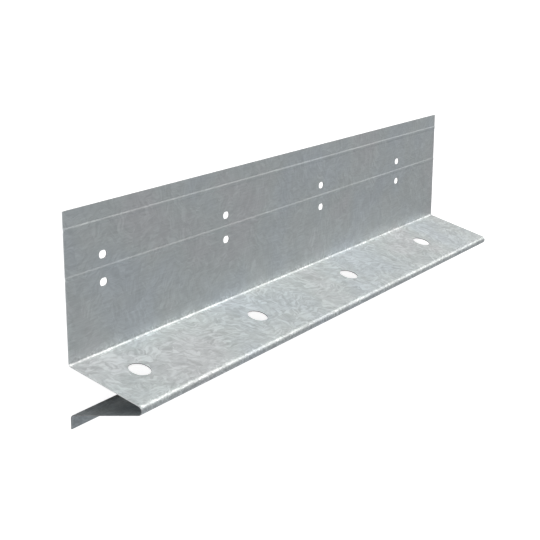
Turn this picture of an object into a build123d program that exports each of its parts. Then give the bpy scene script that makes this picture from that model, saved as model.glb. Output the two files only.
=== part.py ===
from build123d import *
from math import cos, radians, sin, tan
import os

# Foundation weep screed: one strip of thin galvanised sheet, folded along its whole length.
# It lies on its back. X runs along the strip, Y points up the wall the flange is nailed to,
# and Z points out from that wall, so the back faces of the flange and the lip lie on Z = 0.

# Strip of sheet
screed_length = 471.7
sheet_thickness = 0.55

# Nailing flange, measured up from the crease where its face meets the ledge
flange_height = 88.9
crease_radius = 2.0

# Two raised beads stiffen the flange, measured down from its top edge
upper_bead_from_top = 11.1
lower_bead_from_top = 38.9
bead_width = 3.2
bead_crest_width = 1.4
bead_relief = 0.25
bead_radius = 1.4

# Ledge that the plaster stops on, and the return that runs back under it to the wall
ledge_reach = 51.9
ledge_slope = 14.7
nose_radius = 3.2
return_slope = 12.7

# Lip that lies on the foundation wall
lip_height = 8.2
lip_bend_radius = 2.3

# Holes are punched in sets, one set every pitch along the strip
first_hole_from_end = 31.9
hole_pitch = 123.0

# Two rows of nail slots in the flange, one on each side of the lower bead
slot_row_from_bead = 8.2
slot_length = 6.6
slot_width = 4.8

# One row of round weep holes in the ledge, measured down the slope from the crease
weep_hole_diameter = 13.5
weep_hole_distance = 25.8

# Outside faces of ledge and return, run on to the sharp corner that the nose rounds off
nose_half_angle = radians(ledge_slope + return_slope) / 2
nose_skew = radians(ledge_slope - return_slope) / 2
nose_centre_to_corner = nose_radius / sin(nose_half_angle) * cos(nose_skew)
corner_reach = ledge_reach - nose_radius + nose_centre_to_corner
nose_drop = corner_reach * tan(radians(ledge_slope))
lip_top_drop = nose_drop + corner_reach * tan(radians(return_slope))
lip_bottom_drop = lip_top_drop + lip_height

# The crease sits off centre, so that the strip's outline is centred on the origin
crease_y = (lip_bottom_drop - flange_height) / 2

# The front face of the strip, from the top edge of the flange to the bottom edge of the lip
front = sheet_thickness
crest = front + bead_relief


def bead_corners(height):
    """Corners of a bead centred at this height, from its upper foot to its lower foot."""
    upper_foot = (height + bead_width / 2, front)
    upper_shoulder = (height + bead_crest_width / 2, crest)
    lower_shoulder = (height - bead_crest_width / 2, crest)
    lower_foot = (height - bead_width / 2, front)
    return [upper_foot, upper_shoulder, lower_shoulder, lower_foot]


upper_bead_height = flange_height - upper_bead_from_top
lower_bead_height = flange_height - lower_bead_from_top
flange_top = (flange_height, front)
bead_line = bead_corners(upper_bead_height) + bead_corners(lower_bead_height)
crease = (0, front)
nose_corner = (-nose_drop, front + corner_reach)
lip_corner = (-lip_top_drop, front)
lip_bottom = (-lip_bottom_drop, front)
front_corners = [flange_top, *bead_line, crease, nose_corner, lip_corner, lip_bottom]
bead_radii = [bead_radius] * len(bead_line)
fold_radii = [crease_radius, nose_radius, lip_bend_radius]

# Planes of the work, each with its origin on the line of the crease
section_plane = Plane(origin=(0, crease_y, 0), x_dir=(0, 1, 0), z_dir=(1, 0, 0))
flange_plane = Plane(origin=(0, crease_y, 0), x_dir=(1, 0, 0), z_dir=(0, 0, 1))
ledge_normal = (0, cos(radians(ledge_slope)), sin(radians(ledge_slope)))
ledge_plane = Plane(origin=(0, crease_y, front), x_dir=(1, 0, 0), z_dir=ledge_normal)

# As many sets of holes as the strip has room for
hole_sets = int((screed_length - first_hole_from_end) // hole_pitch) + 1
first_hole_x = first_hole_from_end - screed_length / 2
hole_row_x = first_hole_x + (hole_sets - 1) * hole_pitch / 2
slot_row_spacing = 2 * slot_row_from_bead

with BuildPart() as weep_screed:
    # The folded sheet
    with BuildSketch(section_plane):
        with BuildLine():
            FilletPolyline(*front_corners, radius=[*bead_radii, *fold_radii])
            offset(amount=sheet_thickness, side=Side.LEFT)
        make_face()
    extrude(amount=screed_length / 2, both=True)

    # Nail slots, long along the strip
    with BuildSketch(flange_plane):
        with Locations((hole_row_x, lower_bead_height)):
            with GridLocations(hole_pitch, slot_row_spacing, hole_sets, 2):
                SlotOverall(slot_length, slot_width)
    extrude(amount=sheet_thickness, mode=Mode.SUBTRACT)

    # Weep holes, square to the slope of the ledge
    with BuildSketch(ledge_plane):
        with Locations((hole_row_x, -weep_hole_distance)):
            with GridLocations(hole_pitch, 0, hole_sets, 1):
                Circle(weep_hole_diameter / 2)
    extrude(amount=sheet_thickness, both=True, mode=Mode.SUBTRACT)

weep_screed.part.label = "weep_screed"

os.makedirs("parts", exist_ok=True)
export_step(weep_screed.part, "parts/weep_screed.step")
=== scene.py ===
"""Looks of a foundation weep screed: a short length of folded galvanised sheet.

The strip lies on its back. X runs along it, Y points up the wall it would be nailed to, and Z
points out from that wall. All lengths are in metres.
"""

from __future__ import annotations

import logging
import math
from dataclasses import dataclass, field
from enum import Enum

import bmesh
import bpy
from mathutils import Matrix, Vector

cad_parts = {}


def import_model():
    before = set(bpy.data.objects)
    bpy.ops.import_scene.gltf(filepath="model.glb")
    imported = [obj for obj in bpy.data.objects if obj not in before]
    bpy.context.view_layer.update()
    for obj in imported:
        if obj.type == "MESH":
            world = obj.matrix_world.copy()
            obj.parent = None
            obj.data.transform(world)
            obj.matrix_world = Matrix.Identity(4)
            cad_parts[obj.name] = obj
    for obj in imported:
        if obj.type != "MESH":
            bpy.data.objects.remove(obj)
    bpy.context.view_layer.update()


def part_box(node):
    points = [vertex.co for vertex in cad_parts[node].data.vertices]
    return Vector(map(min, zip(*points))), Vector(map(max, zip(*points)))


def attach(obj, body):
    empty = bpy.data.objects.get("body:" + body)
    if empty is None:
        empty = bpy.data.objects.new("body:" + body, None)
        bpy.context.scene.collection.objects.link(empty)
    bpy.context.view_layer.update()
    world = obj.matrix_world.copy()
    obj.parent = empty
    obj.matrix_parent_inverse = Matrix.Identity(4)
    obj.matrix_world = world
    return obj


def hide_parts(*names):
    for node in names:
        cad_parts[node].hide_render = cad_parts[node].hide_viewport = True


LOG = logging.getLogger("weep_screed")
MM = 0.001
FLAT_SHEET = "flat_sheet"
# Middle of a colour whose parts are random numbers from 0 to 1
MIDDLE = (0.5, 0.5, 0.5)
# Places in the list of bends, counted from its end
CREASE, NOSE, LIP_BEND = -3, -2, -1
# Sockets of a Mix node that mixes colours
MIX_FIRST, MIX_SECOND, MIX_RESULT = 6, 7, 2

Socket = bpy.types.NodeSocket
Colour = tuple[float, float, float, float]
Stops = tuple[tuple[float, Colour], ...]


class Face(Enum):
    """Material slots of the folded sheet."""

    ZINC = 0
    CUT_STEEL = 1


class RayKind(Enum):
    """Light Path outputs that see the white background."""

    CAMERA = "Is Camera Ray"
    GLOSSY = "Is Glossy Ray"
    TRANSMISSION = "Is Transmission Ray"


def deselect_all() -> None:
    """Leaves object mode with nothing selected."""
    if bpy.context.object and bpy.context.object.mode != "OBJECT":
        bpy.ops.object.mode_set(mode="OBJECT")
    bpy.ops.object.select_all(action="DESELECT")


def make_active(piece: bpy.types.Object) -> None:
    """Selects one object and nothing else, and makes it the active one.

    Args:
        piece: The object that the next operators work on.
    """
    deselect_all()
    piece.select_set(True)
    bpy.context.view_layer.objects.active = piece


def apply_modifiers(piece: bpy.types.Object) -> None:
    """Applies every modifier of a piece, from the first to the last.

    Args:
        piece: The object whose modifiers become part of its mesh.
    """
    make_active(piece)
    for name in [modifier.name for modifier in piece.modifiers]:
        bpy.ops.object.modifier_apply(modifier=name)


@dataclass(frozen=True)
class Fold:
    """One corner of the section, rounded off.

    Attributes:
        corner: Sharp corner in the Y, Z plane.
        radius: Radius on the front face of the sheet.
    """

    corner: Vector
    radius: float


@dataclass(frozen=True)
class Bend:
    """A fold as the flat sheet is bent round it.

    Attributes:
        centre: Middle of the bend in the Y, Z plane.
        enters: Place on the front face where the bend starts.
        turn: Angle turned through, positive to the left.
        radius: Radius on the front face.
        starts: Distance down the flat sheet to the start of the bend.
    """

    centre: Vector
    enters: Vector
    turn: float
    radius: float
    starts: float

    @property
    def length(self) -> float:
        """Length of the bend on the flat sheet."""
        return self.radius * abs(self.turn)

    @property
    def middle(self) -> float:
        """Distance down the flat sheet to the middle of the bend."""
        return self.starts + self.length / 2


@dataclass
class ScreedSection:
    """The folded section's sizes, and the corners that its front face turns at.

    Attributes:
        top_y: Height of the flange's top edge.
        thickness: Thickness of the sheet.
        flange_height: Height of the flange above the crease.
        crease_radius: Radius of the crease.
        bead_depths: Distances of the two beads below the flange's top edge.
        bead_width: Width of a bead at its foot.
        bead_crest_width: Width of a bead at its crest.
        bead_relief: How far a bead stands out.
        bead_radius: Radius of a bead's four folds.
        ledge_reach: How far the nose stands out from the flange's face.
        ledge_slope: Slope of the ledge.
        nose_radius: Radius of the nose.
        return_slope: Slope of the return under the ledge.
        lip_height: Height of the lip below its bend's sharp corner.
        lip_bend_radius: Radius of the bend between return and lip.
    """

    top_y: float
    thickness: float = 0.55 * MM
    flange_height: float = 88.9 * MM
    crease_radius: float = 2.0 * MM
    bead_depths: tuple[float, float] = (11.1 * MM, 38.9 * MM)
    bead_width: float = 3.2 * MM
    bead_crest_width: float = 1.4 * MM
    bead_relief: float = 0.25 * MM
    bead_radius: float = 1.4 * MM
    ledge_reach: float = 51.9 * MM
    ledge_slope: float = math.radians(14.7)
    nose_radius: float = 3.2 * MM
    return_slope: float = math.radians(12.7)
    lip_height: float = 8.2 * MM
    lip_bend_radius: float = 2.3 * MM

    @property
    def crease_y(self) -> float:
        """Height of the crease between flange and ledge."""
        return self.top_y - self.flange_height

    @property
    def top_edge(self) -> Vector:
        """Start of the front face, at the flange's top edge."""
        return Vector((self.top_y, self.thickness))

    def bead_folds(self, depth: float) -> list[Fold]:
        """Folds of one raised bead, from its upper foot to its lower foot.

        Args:
            depth: Distance of the bead's middle below the flange's top edge.

        Returns:
            The bead's four folds.
        """
        middle = self.top_y - depth
        foot, shoulder = self.bead_width / 2, self.bead_crest_width / 2
        crest = self.thickness + self.bead_relief
        corners = [
            (middle + foot, self.thickness),
            (middle + shoulder, crest),
            (middle - shoulder, crest),
            (middle - foot, self.thickness),
        ]
        return [Fold(Vector(corner), self.bead_radius) for corner in corners]

    def folds(self) -> list[Fold]:
        """Works out every fold of the strip.

        Returns:
            The folds, from the top edge down to the lip.
        """
        half_angle = (self.ledge_slope + self.return_slope) / 2
        skew = (self.ledge_slope - self.return_slope) / 2
        to_corner = self.nose_radius / math.sin(half_angle) * math.cos(skew)
        reach = self.ledge_reach - self.nose_radius + to_corner
        nose_y = self.crease_y - reach * math.tan(self.ledge_slope)
        lip_y = nose_y - reach * math.tan(self.return_slope)
        front = self.thickness
        return [
            *self.bead_folds(self.bead_depths[0]),
            *self.bead_folds(self.bead_depths[1]),
            Fold(Vector((self.crease_y, front)), self.crease_radius),
            Fold(Vector((nose_y, front + reach)), self.nose_radius),
            Fold(Vector((lip_y, front)), self.lip_bend_radius),
        ]

    def lip_edge(self) -> Vector:
        """Returns the end of the front face, at the lip's free edge."""
        return Vector((self.folds()[-1].corner.x - self.lip_height, self.thickness))

    def bends(self) -> list[Bend]:
        """Works out every fold's bend, from the top edge down to the lip.

        Returns:
            The bends in order. The last three are the crease, the nose and the lip's bend.
        """
        folds = self.folds()
        points = [self.top_edge, *(fold.corner for fold in folds), self.lip_edge()]
        headings = [(b - a).normalized() for a, b in zip(points, points[1:])]
        bends: list[Bend] = []
        run, place = 0.0, self.top_edge
        for fold, before, after in zip(folds, headings, headings[1:]):
            turn = -before.angle_signed(after)
            trim = fold.radius * math.tan(abs(turn) / 2)
            enters = fold.corner - before * trim
            left = Vector((-before.y, before.x))
            centre = enters + left * math.copysign(fold.radius, turn)
            run += (enters - place).length
            bends.append(Bend(centre, enters, turn, fold.radius, run))
            run += bends[-1].length
            place = fold.corner + after * trim
        return bends


@dataclass
class PunchedHoles:
    """Holes punched in sets along the strip: two nail slots and a weep hole in each set.

    Attributes:
        section: Section that the holes are cut in.
        first_x: Place of the first set along the strip.
        pitch: Distance from one set to the next.
        sets: Number of sets.
        slot_row_from_bead: Distance of each row of slots from the lower bead.
        slot_length: Length of a nail slot, along the strip.
        slot_width: Width of a nail slot.
        weep_diameter: Diameter of a weep hole.
        weep_distance: Distance of the weep holes down the ledge from the crease.
        punch_depth: Length of the punches.
        slot_sides: Number of sides of a slot's two round ends together.
        weep_sides: Number of sides of a weep hole.
    """

    section: ScreedSection
    first_x: float
    pitch: float = 123.0 * MM
    sets: int = 4
    slot_row_from_bead: float = 8.2 * MM
    slot_length: float = 6.6 * MM
    slot_width: float = 4.8 * MM
    weep_diameter: float = 13.5 * MM
    weep_distance: float = 25.8 * MM
    punch_depth: float = 4.0 * MM
    slot_sides: int = 48
    weep_sides: int = 96

    def columns(self) -> list[float]:
        """Returns the place along the strip of each set of holes."""
        return [self.first_x + self.pitch * number for number in range(self.sets)]

    def slot_punch(self) -> bpy.types.Object:
        """Makes the first nail slot's punch, a round bar drawn out along the strip.

        Returns:
            The punch, at the middle of the world.
        """
        deselect_all()
        bpy.ops.mesh.primitive_cylinder_add(
            vertices=self.slot_sides, radius=self.slot_width / 2, depth=self.punch_depth
        )
        punch = bpy.context.object
        punch.name = "slot_punch"
        draw_out = (self.slot_length - self.slot_width) / 2
        for side in (-1, 1):
            for vertex in punch.data.vertices:
                vertex.select = vertex.co.x * side > self.slot_width / self.slot_sides / 2
            for part in (*punch.data.edges, *punch.data.polygons):
                part.select = False
            bpy.ops.object.mode_set(mode="EDIT")
            bpy.ops.mesh.select_mode(type="VERT")
            bpy.ops.transform.translate(value=(side * draw_out, 0, 0))
            bpy.ops.object.mode_set(mode="OBJECT")
        return punch

    def weep_punch(self) -> bpy.types.Object:
        """Makes the weep hole's punch, square to the slope of the ledge.

        Returns:
            The punch, at the middle of the world.
        """
        deselect_all()
        bpy.ops.mesh.primitive_cylinder_add(
            vertices=self.weep_sides,
            radius=self.weep_diameter / 2,
            depth=self.punch_depth,
            rotation=(self.section.ledge_slope - math.pi / 2, 0, 0),
        )
        punch = bpy.context.object
        punch.name = "weep_punch"
        bpy.ops.object.transform_apply(location=False, rotation=True, scale=True)
        return punch

    def copy_to(self, punch: bpy.types.Object, place: Vector) -> bpy.types.Object:
        """Copies a punch, with a mesh of its own, to a hole's place.

        Args:
            punch: The punch to copy.
            place: Middle of the hole.

        Returns:
            The copy.
        """
        copy = punch.copy()
        copy.data = punch.data.copy()
        copy.data.transform(Matrix.Translation(place))
        bpy.context.scene.collection.objects.link(copy)
        return copy

    def all_punches(self) -> bpy.types.Object:
        """Makes one object of the punches of every hole.

        Returns:
            The joined punches.
        """
        section = self.section
        bead_y = section.top_y - section.bead_depths[1]
        weep_y = section.crease_y - self.weep_distance * math.sin(section.ledge_slope)
        weep_z = section.thickness + self.weep_distance * math.cos(section.ledge_slope)
        slot, weep = self.slot_punch(), self.weep_punch()
        copies = []
        for x in self.columns():
            for row in (-1, 1):
                slot_y = bead_y + row * self.slot_row_from_bead
                copies.append(self.copy_to(slot, Vector((x, slot_y, 0))))
            copies.append(self.copy_to(weep, Vector((x, weep_y, weep_z))))
        deselect_all()
        for copy in copies:
            copy.select_set(True)
        bpy.context.view_layer.objects.active = copies[0]
        bpy.ops.object.join()
        for punch in (slot, weep):
            bpy.data.objects.remove(punch)
        return bpy.context.object


@dataclass
class FoldedSheet:
    """The galvanised strip, folded from its top edge down to its lip.

    Attributes:
        low: Lowest corner of the CAD node's box.
        high: Highest corner of the CAD node's box.
        first_hole_from_end: Distance of the first set of holes from the near end.
        degrees_per_step: Turn of one step of a fold.
        weld_reach: How near two corners are made one.
        edge_round: How much of a cut edge is rounded off.
        edge_steps: Number of steps in that rounding.
        edge_angle: Least angle of an edge that is rounded.
        section: The folded section, placed in the box.
        holes: The holes, placed in the box.
    """

    low: Vector
    high: Vector
    first_hole_from_end: float = 31.9 * MM
    degrees_per_step: float = 6.0
    weld_reach: float = 0.001 * MM
    edge_round: float = 0.06 * MM
    edge_steps: int = 2
    edge_angle: float = math.radians(50)
    section: ScreedSection = field(init=False)
    holes: PunchedHoles = field(init=False)

    def __post_init__(self) -> None:
        """Places the section and the holes inside the CAD node's box."""
        self.section = ScreedSection(top_y=self.high.y)
        self.holes = PunchedHoles(self.section, self.low.x + self.first_hole_from_end)

    def start_strip(self, width: float) -> bpy.types.Object:
        """Adds the flat strip below the flange's top edge, split at every set of holes.

        Args:
            width: Width of that first strip.

        Returns:
            The new object, in edit mode with its lower edge selected.
        """
        deselect_all()
        bpy.ops.mesh.primitive_plane_add(size=1.0)
        sheet = bpy.context.object
        sheet.name = "folded_sheet"
        top = self.section.top_edge
        sheet.scale = (self.high.x - self.low.x, width, 1)
        sheet.location = ((self.high.x + self.low.x) / 2, top.x - width / 2, top.y)
        bpy.ops.object.transform_apply(location=True, rotation=True, scale=True)
        bpy.ops.object.mode_set(mode="EDIT")
        for x in self.holes.columns():
            bpy.ops.mesh.select_all(action="SELECT")
            bpy.ops.mesh.bisect(plane_co=(x, 0, 0), plane_no=(1, 0, 0))
        lower_edge = top.x - width / 2
        mesh = bmesh.from_edit_mesh(sheet.data)
        run = mesh.verts.layers.float.new("run")
        mesh.select_mode = {"EDGE"}
        for vertex in mesh.verts:
            vertex[run] = width if vertex.co.y < lower_edge else 0.0
        for part in (*mesh.faces, *mesh.edges):
            part.select_set(False)
        for edge in mesh.edges:
            edge.select_set(all(vertex.co.y < lower_edge for vertex in edge.verts))
        bmesh.update_edit_mesh(sheet.data)
        return sheet

    def mark_run(self, sheet: bpy.types.Object, distance: float) -> None:
        """Notes on the edge just made how far down the flat sheet it lies.

        Args:
            sheet: The strip, in edit mode.
            distance: Distance from the flange's top edge along the flat sheet.
        """
        mesh = bmesh.from_edit_mesh(sheet.data)
        run = mesh.verts.layers.float["run"]
        for vertex in mesh.verts:
            if vertex.select:
                vertex[run] = distance
        bmesh.update_edit_mesh(sheet.data)

    def fold_strip(self) -> bpy.types.Object:
        """Draws the front face of the strip, flat by flat and fold by fold.

        Returns:
            The open surface, with the distance down the flat sheet on its vertices.
        """
        bends = self.section.bends()
        sheet = self.start_strip(bends[0].starts)
        for number, bend in enumerate(bends):
            steps = max(2, round(math.degrees(abs(bend.turn)) / self.degrees_per_step))
            for step in range(steps):
                bpy.ops.mesh.spin(
                    steps=1,
                    dupli=False,
                    angle=-bend.turn / steps,
                    center=(0, bend.centre.x, bend.centre.y),
                    axis=(1, 0, 0),
                )
                self.mark_run(sheet, bend.starts + bend.length * (step + 1) / steps)
            start = Matrix.Rotation(bend.turn, 2) @ (bend.enters - bend.centre) + bend.centre
            last = number + 1 == len(bends)
            end = self.section.lip_edge() if last else bends[number + 1].enters
            flat = end - start
            bpy.ops.mesh.extrude_region_move(
                TRANSFORM_OT_translate={"value": (0, flat.x, flat.y)}
            )
            self.mark_run(sheet, bend.starts + bend.length + flat.length)
        bpy.ops.mesh.select_all(action="SELECT")
        bpy.ops.mesh.remove_doubles(threshold=self.weld_reach)
        bpy.ops.mesh.normals_make_consistent(inside=False)
        bpy.ops.object.mode_set(mode="OBJECT")
        return sheet

    def face_front(self, sheet: bpy.types.Object) -> None:
        """Turns the surface over if its flange doesn't face out of the wall.

        Args:
            sheet: The open surface.
        """
        flange = max(sheet.data.polygons, key=lambda face: face.area)
        if flange.normal.z < 0:
            sheet.data.flip_normals()

    def lay_out_flat(self, sheet: bpy.types.Object) -> None:
        """Gives the surface a UV map that is the flat sheet before folding, in metres.

        Args:
            sheet: The open surface.
        """
        run = sheet.data.attributes["run"].data
        layer = sheet.data.uv_layers.new(name=FLAT_SHEET)
        for loop in sheet.data.loops:
            x = sheet.data.vertices[loop.vertex_index].co.x
            layer.data[loop.index].uv = (x, run[loop.vertex_index].value)

    def thicken(self, sheet: bpy.types.Object) -> None:
        """Gives the surface the sheet's thickness, behind its front face.

        Args:
            sheet: The open surface, with both of its materials.
        """
        wall = sheet.modifiers.new("thickness", "SOLIDIFY")
        wall.thickness = self.section.thickness
        wall.offset = -1
        wall.use_even_offset = True
        wall.use_rim = True
        wall.material_offset_rim = Face.CUT_STEEL.value
        apply_modifiers(sheet)

    def punch(self, sheet: bpy.types.Object) -> None:
        """Cuts the nail slots and the weep holes.

        Args:
            sheet: The thick sheet.
        """
        punches = self.holes.all_punches()
        punches.data.materials.clear()
        punches.data.materials.append(sheet.data.materials[Face.CUT_STEEL.value])
        cut = sheet.modifiers.new("holes", "BOOLEAN")
        cut.operation = "DIFFERENCE"
        cut.solver = "EXACT"
        cut.material_mode = "TRANSFER"
        cut.object = punches
        apply_modifiers(sheet)
        bpy.data.objects.remove(punches)

    def round_edges(self, sheet: bpy.types.Object) -> None:
        """Takes the sharpness off every cut edge and smooths the folds.

        Args:
            sheet: The punched sheet.
        """
        edges = sheet.modifiers.new("edges", "BEVEL")
        edges.width = self.edge_round
        edges.segments = self.edge_steps
        edges.limit_method = "ANGLE"
        edges.angle_limit = self.edge_angle
        edges.harden_normals = False
        flats = sheet.modifiers.new("flats", "WEIGHTED_NORMAL")
        flats.keep_sharp = True
        make_active(sheet)
        bpy.ops.object.shade_smooth()
        apply_modifiers(sheet)

    def build(self, finishes: list[bpy.types.Material]) -> bpy.types.Object:
        """Models the whole strip.

        Args:
            finishes: Materials in the order of Face.

        Returns:
            The finished piece.
        """
        sheet = self.fold_strip()
        self.face_front(sheet)
        self.lay_out_flat(sheet)
        sheet.data.materials.clear()
        for finish in finishes:
            sheet.data.materials.append(finish)
        self.thicken(sheet)
        self.punch(sheet)
        self.round_edges(sheet)
        return sheet


class NodeBoard:
    """The nodes of a material or of the world, with short ways to add and join them."""

    def __init__(self, owner: bpy.types.Material | bpy.types.World, output: str) -> None:
        """Clears the owner's nodes and adds its output.

        Args:
            owner: Material or world that the nodes belong to.
            output: Type of the output node, without its ShaderNode prefix.
        """
        owner.use_nodes = True
        self.owner = owner
        self.nodes = owner.node_tree.nodes
        self.links = owner.node_tree.links
        self.nodes.clear()
        self.output = self.nodes.new("ShaderNode" + output)

    def add(self, kind: str, **settings: object) -> bpy.types.Node:
        """Adds a node. Settings name its properties, or its inputs by their labels.

        Args:
            kind: Type of the node, without its ShaderNode prefix.
            settings: Values of properties, or of inputs that no property is named for.

        Returns:
            The new node.
        """
        node = self.nodes.new("ShaderNode" + kind)
        for key, value in settings.items():
            if hasattr(node, key):
                setattr(node, key, value)
            else:
                node.inputs[key.replace("_", " ")].default_value = value
        return node

    def join(self, source: Socket, target: Socket) -> None:
        """Links an output socket to an input socket."""
        self.links.new(source, target)

    def show(self, shader: bpy.types.Node) -> None:
        """Links a shader to the output."""
        self.join(shader.outputs[0], self.output.inputs["Surface"])

    def operate(self, kind: str, operation: str, *values: object) -> bpy.types.Node:
        """Adds a Math or Vector Math node.

        Args:
            kind: Type of the node, without its ShaderNode prefix.
            operation: Name of the operation.
            values: Each a number, a vector or a socket.

        Returns:
            The new node.
        """
        node = self.add(kind, operation=operation)
        for number, value in enumerate(values):
            if isinstance(value, bpy.types.NodeSocket):
                self.join(value, node.inputs[number])
            else:
                node.inputs[number].default_value = value
        return node

    def maths(self, operation: str, *values: object) -> Socket:
        """Returns what an operation makes of some numbers."""
        return self.operate("Math", operation, *values).outputs["Value"]

    def vectors(self, operation: str, *values: object) -> Socket:
        """Returns the vector that an operation makes of some vectors."""
        return self.operate("VectorMath", operation, *values).outputs["Vector"]

    def noise(self, place: Socket, size: float, **settings: float) -> bpy.types.Node:
        """Adds a cloudy pattern.

        Args:
            place: Place that the pattern is read at.
            size: Size of its clouds.
            settings: Detail and roughness of the pattern.

        Returns:
            The pattern's node.
        """
        node = self.add("TexNoise", Scale=1 / size, **settings)
        self.join(place, node.inputs["Vector"])
        return node

    def streaked(self, place: Socket, length: float, width: float) -> Socket:
        """Counts a place in lengths and widths of streaks that run along X.

        Args:
            place: The place.
            length: Length of a streak.
            width: Width of a streak.

        Returns:
            The place, for a pattern of size 1.
        """
        node = self.add("Mapping")
        node.inputs["Scale"].default_value = (1 / length, 1 / width, 1)
        self.join(place, node.inputs["Vector"])
        return node.outputs[0]

    def share(self, value: Socket, none_at: float, full_at: float) -> Socket:
        """Rises smoothly from 0 to 1 while a value goes from one number to another.

        Args:
            value: The value.
            none_at: Value up to which the share is 0.
            full_at: Value from which the share is 1.

        Returns:
            The share.
        """
        node = self.add("MapRange", interpolation_type="SMOOTHSTEP")
        node.inputs["From Min"].default_value = none_at
        node.inputs["From Max"].default_value = full_at
        self.join(value, node.inputs["Value"])
        return node.outputs[0]

    def ramp(self, value: Socket, stops: Stops) -> Socket:
        """Turns a value into a colour.

        Args:
            value: The value, 0 to 1.
            stops: Each value that has a colour of its own, with that colour.

        Returns:
            The colour.
        """
        node = self.add("ValToRGB")
        elements = node.color_ramp.elements
        elements.remove(elements[-1])
        elements[0].position, elements[0].color = stops[0]
        for position, colour in stops[1:]:
            elements.new(position).color = colour
        self.join(value, node.inputs[0])
        return node.outputs["Color"]

    def flat_sheet(self) -> Socket:
        """Returns the place on the flat sheet, before it was folded."""
        return self.add("UVMap", uv_map=FLAT_SHEET).outputs["UV"]

    def axes(self, place: Socket) -> tuple[Socket, Socket]:
        """Splits a place on the flat sheet into its two distances.

        Args:
            place: The place.

        Returns:
            How far it is along the strip, and how far down the flat sheet.
        """
        node = self.add("SeparateXYZ")
        self.join(place, node.inputs[0])
        return node.outputs["X"], node.outputs["Y"]


@dataclass
class Crystals:
    """Sockets that tell the zinc's crystals apart.

    Attributes:
        middle: Middle of the crystal.
        offset: Place inside the crystal, from its middle.
        heading: Random number of the crystal, for the direction of its feathers.
        lightness: Random number of the crystal, for its tone.
        strength: Random number of the crystal, for how clear its feathers are.
        chance: All three random numbers as a colour.
    """

    middle: Socket
    offset: Socket
    heading: Socket
    lightness: Socket
    strength: Socket
    chance: Socket


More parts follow.
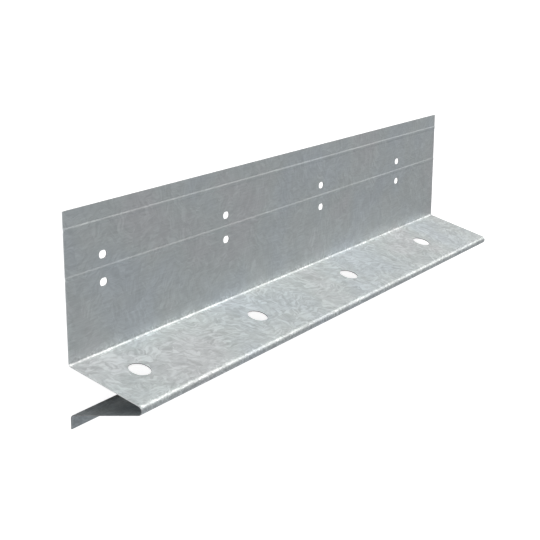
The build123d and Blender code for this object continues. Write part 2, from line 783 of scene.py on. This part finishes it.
@dataclass(frozen=True)
class GalvanisedZinc:
    """Hot-dip zinc: small crystals, each with feathery strokes that run its own way.

    Attributes:
        section: The folded section, which tells where on the flat sheet the bends are.
        dull: Colour of the darkest spots.
        bright: Colour of the lightest strokes.
        fresh_and_highlight: Colour of the lightest specks along the crease and the nose, a
            painted highlight on the zinc that was stretched there.
        bright_at: Lightness that has the bright colour.
        tints: Tints that the colour drifts between: cool, green and rosy.
        hue_size: Size of the drift.
        crystal_size: Size of a crystal.
        bend_size: Size of the waves in the crystals' outlines.
        bend_reach: Depth of those waves.
        fray_size: Size of the small waves on top of them.
        fray_reach: Depth of the small waves.
        feather_length: Length of a stroke.
        feather_width: Width of a stroke.
        stroke_edges: Height of the pattern where a stroke begins and where it is full.
        sway_size: Size of the drift of the strokes' direction.
        sway_turn: How far that drift turns them.
        own_turn: How far a crystal turns its own strokes.
        base_turn: Direction that all the turns are added to.
        own_pattern: How far apart the crystals lie in the strokes' pattern.
        least_strength: How clear the faintest strokes are.
        stroke_share: How much the strokes lighten the zinc.
        crystal_share: How much lighter the lightest crystal is.
        mottle_size: Size of the cloudy spots.
        mottle_share: How much those spots lighten it.
        middle_tone: Mean of strokes, crystals and spots.
        plain_tone: Lightness of the zinc before its grain.
        grain_length: Length of the rolls' streaks.
        grain_width: Width of the rolls' streaks.
        grain_share: How much the streaks lighten it.
        flange_share: How clear the spangle is on the flange.
        relief: Height of the strokes.
        facet_slope: Slope of the crystals.
        craze_size: Size of the grit where the zinc was stretched.
        craze_middle: Value taken off the grit. It is a little under the grit's mean, so the
            bends come out lighter on average, as a painted highlight.
        highlight_share: How much the grit lightens the zinc, a painted highlight broken into
            specks along the crease and the nose.
        craze_relief: Height of the grit.
        craze_reach: How far the grit and its painted highlight go past a bend.
        glow_reach: How far up the flange the painted light beside the crease reaches.
        glow_lightness: How much that painted light lightens the zinc.
        metallic: Share of metal in the shine.
        roughness: Roughness at a middling lightness.
        roughness_spread: How much rougher the darkest zinc is than the lightest.
        roughness_ends: Lightness of the roughest and of the smoothest zinc.
    """

    section: ScreedSection
    dull: Colour = (0.385, 0.41, 0.438, 1)
    bright: Colour = (0.60, 0.637, 0.67, 1)
    fresh_and_highlight: Colour = (0.80, 0.84, 0.88, 1)
    bright_at: float = 0.75
    tints: Stops = (
        (0.38, (0.985, 1.0, 1.01, 1)),
        (0.52, (1.0, 1.003, 0.975, 1)),
        (0.64, (1.025, 0.99, 0.975, 1)),
    )
    hue_size: float = 70.0 * MM
    crystal_size: float = 9.0 * MM
    bend_size: float = 8.0 * MM
    bend_reach: float = 7.0 * MM
    fray_size: float = 2.0 * MM
    fray_reach: float = 1.0 * MM
    feather_length: float = 9.0 * MM
    feather_width: float = 1.9 * MM
    stroke_edges: tuple[float, float] = (0.36, 0.66)
    sway_size: float = 45.0 * MM
    sway_turn: float = math.radians(420)
    own_turn: float = math.radians(70)
    base_turn: float = math.radians(95)
    own_pattern: float = 90.0
    least_strength: float = 0.4
    stroke_share: float = 0.62
    crystal_share: float = 0.28
    mottle_size: float = 5.0 * MM
    mottle_share: float = 0.75
    middle_tone: float = 0.73
    plain_tone: float = 0.15
    grain_length: float = 9.0 * MM
    grain_width: float = 1.1 * MM
    grain_share: float = 0.5
    flange_share: float = 0.43
    relief: float = 0.05 * MM
    facet_slope: float = 0.006
    craze_size: float = 1.7 * MM
    craze_middle: float = 0.47
    highlight_share: float = 1.6
    craze_relief: float = 0.14 * MM
    craze_reach: float = 3.0 * MM
    glow_reach: float = 8.0 * MM
    glow_lightness: float = 0.28
    metallic: float = 0.55
    roughness: float = 0.42
    roughness_spread: float = 0.12
    roughness_ends: tuple[float, float] = (0.1, 0.9)

    def bent(self, board: NodeBoard, place: Socket, size: float, reach: float) -> Socket:
        """Moves every place aside by a cloudy amount.

        Args:
            board: Node tree of the material.
            place: The place to move.
            size: Size of the bends.
            reach: How far the places move, about.

        Returns:
            The moved place.
        """
        bends = board.noise(place, size, Detail=1.0)
        centred = board.vectors("SUBTRACT", bends.outputs["Color"], MIDDLE)
        return board.vectors("MULTIPLY_ADD", centred, (reach, reach, 0.0), place)

    def crystals(self, board: NodeBoard, place: Socket) -> Crystals:
        """Divides the sheet into crystals.

        Args:
            board: Node tree of the material.
            place: Bent place on the flat sheet.

        Returns:
            What tells the crystals apart.
        """
        cells = board.add("TexVoronoi", Scale=1 / self.crystal_size)
        board.join(place, cells.inputs["Vector"])
        middle, chance = cells.outputs["Position"], cells.outputs["Color"]
        offset = board.vectors("SUBTRACT", place, middle)
        parts = board.add("SeparateColor")
        board.join(chance, parts.inputs[0])
        return Crystals(middle, offset, *parts.outputs, chance)

    def feathers(self, board: NodeBoard, crystals: Crystals) -> Socket:
        """Draws each crystal's strokes.

        Args:
            board: Node tree of the material.
            crystals: The crystals.

        Returns:
            Height of the strokes, 0 to 1.
        """
        sway = board.noise(crystals.middle, self.sway_size, Detail=0.0)
        own_way = board.maths("MULTIPLY_ADD", crystals.heading, self.own_turn, self.base_turn)
        angle = board.maths("MULTIPLY_ADD", sway.outputs["Fac"], self.sway_turn, own_way)
        turned = board.add("VectorRotate", rotation_type="Z_AXIS")
        board.join(crystals.offset, turned.inputs["Vector"])
        board.join(angle, turned.inputs["Angle"])
        place = board.streaked(turned.outputs[0], self.feather_length, self.feather_width)
        apart = (0.0, 0.0, self.own_pattern)
        own_place = board.vectors("MULTIPLY_ADD", crystals.chance, apart, place)
        strokes = board.noise(own_place, 1.0, Detail=2.0, Roughness=0.5)
        clear = board.share(strokes.outputs["Fac"], *self.stroke_edges)
        strength = board.maths(
            "MULTIPLY_ADD", crystals.strength, 1 - self.least_strength, self.least_strength
        )
        return board.maths("MULTIPLY", clear, strength)

    def grit_and_highlight(self, board: NodeBoard, flat: Socket) -> Socket:
        """Roughens the zinc where it was stretched over the crease and the nose, and lightens
        it there as a painted highlight.

        Args:
            board: Node tree of the material.
            flat: Place on the flat sheet.

        Returns:
            The grit, about -0.5 to 0.5, and nothing away from the bends.
        """
        down = board.axes(flat)[1]
        near = []
        for bend in self.section.bends()[CREASE:LIP_BEND]:
            gap = board.maths("ABSOLUTE", board.maths("SUBTRACT", down, bend.middle))
            near.append(board.share(gap, bend.length / 2 + self.craze_reach, bend.length / 2))
        grit = board.noise(flat, self.craze_size, Detail=2.0)
        centred = board.maths("SUBTRACT", grit.outputs["Fac"], self.craze_middle)
        return board.maths("MULTIPLY", centred, board.maths("MAXIMUM", *near))

    def clearness(self, board: NodeBoard, flat: Socket) -> Socket:
        """Tells how clearly the spangle shows, less on the flange than on the ledge.

        Args:
            board: Node tree of the material.
            flat: Place on the flat sheet.

        Returns:
            How clear the spangle is, 0 to 1.
        """
        crease = self.section.bends()[CREASE]
        ends = (crease.starts - crease.length * 2, crease.starts + crease.length)
        past_flange = board.share(board.axes(flat)[1], *ends)
        return board.maths(
            "MULTIPLY_ADD", past_flange, 1 - self.flange_share, self.flange_share
        )

    def crease_glow(self, board: NodeBoard, flat: Socket) -> Socket:
        """Paints light on the foot of the flange, a lighter band just above the crease.

        Args:
            board: Node tree of the material.
            flat: Place on the flat sheet.

        Returns:
            How much lighter the zinc is.
        """
        down = board.axes(flat)[1]
        crease = self.section.bends()[CREASE]
        above = board.share(down, crease.starts - self.glow_reach, crease.starts)
        below = board.share(down, crease.starts + crease.length, crease.starts)
        glow_band = board.maths("MULTIPLY", above, below)
        return board.maths("MULTIPLY", glow_band, self.glow_lightness)

    def grain(self, board: NodeBoard, flat: Socket) -> Socket:
        """Draws the fine streaks that the rolls left along the strip.

        Args:
            board: Node tree of the material.
            flat: Place on the flat sheet.

        Returns:
            How much lighter the zinc is.
        """
        place = board.streaked(flat, self.grain_length, self.grain_width)
        streaks = board.noise(place, 1.0, Detail=2.0)
        return board.maths("MULTIPLY", streaks.outputs["Fac"], self.grain_share)

    def spangle(self, board: NodeBoard, flat: Socket) -> tuple[Socket, Socket]:
        """Makes the spangle's lightness and its height.

        Args:
            board: Node tree of the material.
            flat: Place on the flat sheet.

        Returns:
            The lightness, about 0 to 1, and the height in metres.
        """
        place = self.bent(board, flat, self.bend_size, self.bend_reach)
        place = self.bent(board, place, self.fray_size, self.fray_reach)
        crystals = self.crystals(board, place)
        strokes = self.feathers(board, crystals)
        mottle = board.noise(flat, self.mottle_size, Detail=4.0, Roughness=0.6).outputs["Fac"]
        tone = board.maths("MULTIPLY", strokes, self.stroke_share)
        tone = board.maths("MULTIPLY_ADD", crystals.lightness, self.crystal_share, tone)
        tone = board.maths("MULTIPLY_ADD", mottle, self.mottle_share, tone)
        tone = board.maths("SUBTRACT", tone, self.middle_tone)
        tone = board.maths("MULTIPLY_ADD", tone, self.clearness(board, flat), self.plain_tone)
        tone = board.maths("ADD", tone, self.grain(board, flat))
        # Painted light: a lighter band at the foot of the flange, above the crease
        tone = board.maths("ADD", tone, self.crease_glow(board, flat))
        tone = board.maths("MINIMUM", tone, self.bright_at)
        # Painted highlight: the grit lightens the zinc along the crease and the nose, and
        # also roughens its height
        grit_and_highlight = self.grit_and_highlight(board, flat)
        tone = board.maths("MULTIPLY_ADD", grit_and_highlight, self.highlight_share, tone)

        lean = board.vectors("SUBTRACT", crystals.chance, MIDDLE)
        facet = board.operate("VectorMath", "DOT_PRODUCT", lean, crystals.offset)
        height = board.maths("MULTIPLY", strokes, self.relief)
        height = board.maths("MULTIPLY_ADD", facet.outputs["Value"], self.facet_slope, height)
        return tone, board.maths("MULTIPLY_ADD", grit_and_highlight, self.craze_relief, height)

    def colour(self, board: NodeBoard, flat: Socket, tone: Socket) -> Socket:
        """Colours the spangle, with a slow drift between its tints.

        Args:
            board: Node tree of the material.
            flat: Place on the flat sheet.
            tone: Lightness of the spangle.

        Returns:
            The colour.
        """
        stops = ((0.0, self.dull), (self.bright_at, self.bright), (1.0, self.fresh_and_highlight))
        drift = board.noise(flat, self.hue_size, Detail=3.0)
        both = board.add("Mix", data_type="RGBA", blend_type="MULTIPLY")
        both.inputs["Factor"].default_value = 1.0
        board.join(board.ramp(tone, stops), both.inputs[MIX_FIRST])
        board.join(board.ramp(drift.outputs["Fac"], self.tints), both.inputs[MIX_SECOND])
        return both.outputs[MIX_RESULT]

    def material(self) -> bpy.types.Material:
        """Builds the zinc's nodes on the flat sheet's UV map.

        Returns:
            The material.
        """
        board = NodeBoard(bpy.data.materials.new("galvanised_zinc"), "OutputMaterial")
        flat = board.flat_sheet()
        tone, height = self.spangle(board, flat)
        rough = board.add("MapRange")
        roughest_at, smoothest_at = self.roughness_ends
        rough.inputs["From Min"].default_value = roughest_at
        rough.inputs["From Max"].default_value = smoothest_at
        rough.inputs["To Min"].default_value = self.roughness + self.roughness_spread / 2
        rough.inputs["To Max"].default_value = self.roughness - self.roughness_spread / 2
        board.join(tone, rough.inputs["Value"])
        relief = board.add("Bump", Strength=1.0, Distance=1.0)
        board.join(height, relief.inputs["Height"])

        zinc = board.add("BsdfPrincipled", Metallic=self.metallic)
        board.join(self.colour(board, flat, tone), zinc.inputs["Base Color"])
        board.join(rough.outputs[0], zinc.inputs["Roughness"])
        board.join(relief.outputs[0], zinc.inputs["Normal"])
        board.show(zinc)
        return board.owner


@dataclass(frozen=True)
class CutSteel:
    """Steel where the sheet was cut, darkened as painted shade, with painted light on its two
    sheared ends down to the nose.

    Attributes:
        section: The folded section, which tells where on the flat sheet the nose is.
        end_x: Distance of the sheared ends from the middle of the strip.
        bare_and_shade: Colour of the bare steel, kept dark as painted shade on the cut faces.
        lit_end_colour: Colour of the painted light on the sheared ends, from the flange's top
            edge to the nose.
        end_reach: How far from an end the sheared end reaches.
        lit_end_share: How far that painted light takes the colour towards the lit end colour.
        mark_share: How far the marks take it there.
        mark_size: Size of the marks.
        metallic: Share of metal in the shine.
        roughness: Roughness of the cut.
    """

    section: ScreedSection
    end_x: float
    bare_and_shade: Colour = (0.12, 0.122, 0.125, 1)
    lit_end_colour: Colour = (0.80, 0.81, 0.82, 1)
    end_reach: float = 1.0 * MM
    lit_end_share: float = 0.75
    mark_share: float = 0.45
    mark_size: float = 1.1 * MM
    metallic: float = 0.7
    roughness: float = 0.4

    def lit_ends(self, board: NodeBoard) -> Socket:
        """Tells where painted light lies on the cut.

        Args:
            board: Node tree of the material.

        Returns:
            1 on the sheared ends down to the nose, 0 elsewhere.
        """
        along, down = board.axes(board.flat_sheet())
        from_middle = board.maths("ABSOLUTE", along)
        at_end = board.maths("GREATER_THAN", from_middle, self.end_x - self.end_reach)
        nose = self.section.bends()[NOSE]
        above_nose = board.share(down, nose.middle, nose.starts)
        return board.maths("MULTIPLY", at_end, above_nose)

    def material(self) -> bpy.types.Material:
        """Builds the cut edge's nodes.

        Returns:
            The material.
        """
        board = NodeBoard(bpy.data.materials.new("cut_steel"), "OutputMaterial")
        place = board.add("TexCoord").outputs["Object"]
        marks = board.noise(place, self.mark_size, Detail=2.0)
        tone = board.maths("MULTIPLY", marks.outputs["Fac"], self.mark_share)
        # Painted light on the sheared ends above the nose; below it, and in the holes, the
        # dark bare colour stays as painted shade
        tone = board.maths("MULTIPLY_ADD", self.lit_ends(board), self.lit_end_share, tone)
        steel = board.add("BsdfPrincipled", Metallic=self.metallic, Roughness=self.roughness)
        colour = board.ramp(tone, ((0.0, self.bare_and_shade), (1.0, self.lit_end_colour)))
        board.join(colour, steel.inputs["Base Color"])
        board.show(steel)
        return board.owner


@dataclass(frozen=True)
class SoftBox:
    """A rectangular lamp that points at the strip.

    Attributes:
        name: Name of the lamp.
        place: Middle of the soft box.
        size: Its width and height.
        power: Its power in watts.
        colour: Colour of its light.
    """

    name: str
    place: tuple[float, float, float]
    size: tuple[float, float]
    power: float
    colour: tuple[float, float, float]

    def hang(self) -> None:
        """Adds the lamp to the scene."""
        data = bpy.data.lights.new(self.name, "AREA")
        data.shape = "RECTANGLE"
        data.size, data.size_y = self.size
        data.energy = self.power
        data.color = self.colour
        lamp = bpy.data.objects.new(self.name, data)
        bpy.context.scene.collection.objects.link(lamp)
        lamp.location = self.place
        lamp.rotation_euler = (-Vector(self.place)).to_track_quat("-Z", "Y").to_euler()


@dataclass(frozen=True)
class Studio:
    """Pale floor, soft sky and soft boxes.

    Attributes:
        floor_size: Width of the floor.
        floor_grey: Grey of the floor, as the lamps light it.
        floor_lift: White that the camera sees in the floor, on top of its lit grey.
        floor_mirror: White that the metal sees in the floor.
        open_reach: How near something shades that white.
        open_falloff: How fast the shade deepens.
        sky_heading: Way to the sky's brightest place, low on the side of the near end.
        sky_dark: Brightness of the sky straight away from that place.
        sky_light: Brightness of the sky at that place.
        sky_colour: Colour of the sky.
        backdrop: White that the camera sees round the floor.
        soft_boxes: The lamps.
    """

    floor_size: float = 30.0
    floor_grey: float = 0.45
    floor_lift: float = 0.95
    floor_mirror: float = 0.41
    open_reach: float = 0.12
    open_falloff: float = 1.6
    sky_heading: tuple[float, float, float] = (-0.645, 0.0, -0.764)
    sky_dark: float = 0.25
    sky_light: float = 1.4
    sky_colour: Colour = (0.96, 0.985, 1.0, 1)
    backdrop: Colour = (1, 1, 1, 1)
    soft_boxes: tuple[SoftBox, ...] = (
        SoftBox("low_box", (0.4, 4.6, 1.4), (9.0, 2.6), 110, (1.0, 0.965, 0.86)),
        SoftBox("high_box", (2.4, 2.8, 2.7), (3.0, 2.2), 54, (1.0, 0.98, 0.93)),
        SoftBox("end_box", (3.65, 2.0, 1.7), (3.0, 2.0), 35, (1.0, 0.975, 0.91)),
    )

    def floor(self) -> None:
        """Lays the white floor that the strip rests on.

        Its white is for what looks at it, straight or in the metal, and its shade is real.
        """
        deselect_all()
        bpy.ops.mesh.primitive_plane_add(size=self.floor_size, location=(0, 0, 0))
        floor = bpy.context.object
        floor.name = "floor"
        board = NodeBoard(bpy.data.materials.new("white_floor"), "OutputMaterial")
        grey = self.floor_grey
        paper = board.add("BsdfDiffuse", Color=(grey, grey, grey, 1))
        rays = board.add("LightPath").outputs
        camera, *mirrors = (rays[kind.value] for kind in RayKind)
        open_sky = board.add("AmbientOcclusion", Distance=self.open_reach)
        open_share = board.maths("POWER", open_sky.outputs["AO"], self.open_falloff)
        mirrored = board.maths("MULTIPLY", board.maths("MAXIMUM", *mirrors), open_share)
        mirrored_lift = board.maths("MULTIPLY", mirrored, self.floor_mirror)
        seen_lift = board.maths("MULTIPLY", camera, self.floor_lift)
        glow = board.add("Emission")
        board.join(board.maths("MAXIMUM", seen_lift, mirrored_lift), glow.inputs["Strength"])
        both = board.add("AddShader")
        board.join(paper.outputs[0], both.inputs[0])
        board.join(glow.outputs[0], both.inputs[1])
        board.show(both)
        floor.data.materials.append(board.owner)

    def world(self) -> None:
        """Lights the strip from the sky, brighter low down than straight above."""
        board = NodeBoard(bpy.data.worlds.new("studio"), "OutputWorld")
        bpy.context.scene.world = board.owner
        direction = board.add("TexCoord").outputs["Generated"]
        towards = board.operate("VectorMath", "DOT_PRODUCT", direction, self.sky_heading)
        slope = board.add("MapRange")
        slope.inputs["From Min"].default_value = -1.0
        slope.inputs["To Min"].default_value = self.sky_dark
        slope.inputs["To Max"].default_value = self.sky_light
        board.join(towards.outputs["Value"], slope.inputs["Value"])
        sky = board.add("Background", Color=self.sky_colour)
        board.join(slope.outputs[0], sky.inputs["Strength"])
        backdrop = board.add("Background", Color=self.backdrop)
        either = board.add("MixShader")
        camera = board.add("LightPath").outputs[RayKind.CAMERA.value]
        board.join(camera, either.inputs["Fac"])
        board.join(sky.outputs[0], either.inputs[1])
        board.join(backdrop.outputs[0], either.inputs[2])
        board.show(either)

    def build(self) -> None:
        """Sets up the floor, the sky and the lamps, in that order."""
        self.floor()
        self.world()
        for soft_box in self.soft_boxes:
            soft_box.hang()


@dataclass(frozen=True)
class PhotoCamera:
    """The photograph's camera, fitted to the strip's straight edges and holes.

    Its angles are those of the photograph, where the strip stands upright against a wall.

    Attributes:
        place: Place of the camera.
        yaw: How far it turns towards the wall.
        pitch: How far it looks down the wall.
        roll: How far it tilts to one side.
        lens: Focal length in millimetres.
        sees_from: Nearest and farthest distance that it sees.
    """

    place: tuple[float, float, float] = (-0.698, 0.2015, 0.434)
    yaw: float = math.radians(32.886)
    pitch: float = math.radians(15.271)
    roll: float = math.radians(0.199)
    lens: float = 78.19
    sees_from: tuple[float, float] = (0.01, 50)

    def axes(self) -> Matrix:
        """Works out the camera's own axes, with the strip lying on its back.

        Returns:
            The turn from the camera's axes to the world's.
        """
        flat = math.cos(self.pitch)
        ahead = Vector(
            (math.cos(self.yaw) * flat, math.sin(self.yaw) * flat, -math.sin(self.pitch))
        )
        right = ahead.cross(Vector((0, 0, 1))).normalized()
        up = right.cross(ahead)
        rolled_right = right * math.cos(self.roll) + up * math.sin(self.roll)
        rolled_up = up * math.cos(self.roll) - right * math.sin(self.roll)
        wall_to_floor = Matrix(((1, 0, 0), (0, 0, 1), (0, -1, 0)))
        rows = [wall_to_floor @ axis for axis in (rolled_right, rolled_up, -ahead)]
        return Matrix(rows).transposed().to_4x4()

    def add(self) -> bpy.types.Object:
        """Adds the camera and makes it the scene's own.

        Returns:
            The camera.
        """
        data = bpy.data.cameras.new("photo_camera")
        data.lens = self.lens
        data.clip_start, data.clip_end = self.sees_from
        camera = bpy.data.objects.new("photo_camera", data)
        bpy.context.scene.collection.objects.link(camera)
        camera.matrix_world = Matrix.Translation(Vector(self.place)) @ self.axes()
        bpy.context.scene.camera = camera
        return camera


def main() -> None:
    """Builds the strip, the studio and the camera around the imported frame."""
    logging.basicConfig(level=logging.INFO, format="%(message)s")
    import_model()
    bpy.context.scene.view_settings.view_transform = "Standard"

    strip = FoldedSheet(*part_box("weep_screed"))
    zinc = GalvanisedZinc(strip.section).material()
    cut = CutSteel(strip.section, strip.high.x).material()
    sheet = strip.build([zinc, cut])
    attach(sheet, "root")
    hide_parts("weep_screed")
    LOG.info("%s: %d faces", sheet.name, len(sheet.data.polygons))

    Studio().build()
    camera = PhotoCamera().add()
    LOG.info("%s looks from %s", camera.name, [round(c, 3) for c in camera.location])


if __name__ == "__main__":
    main()
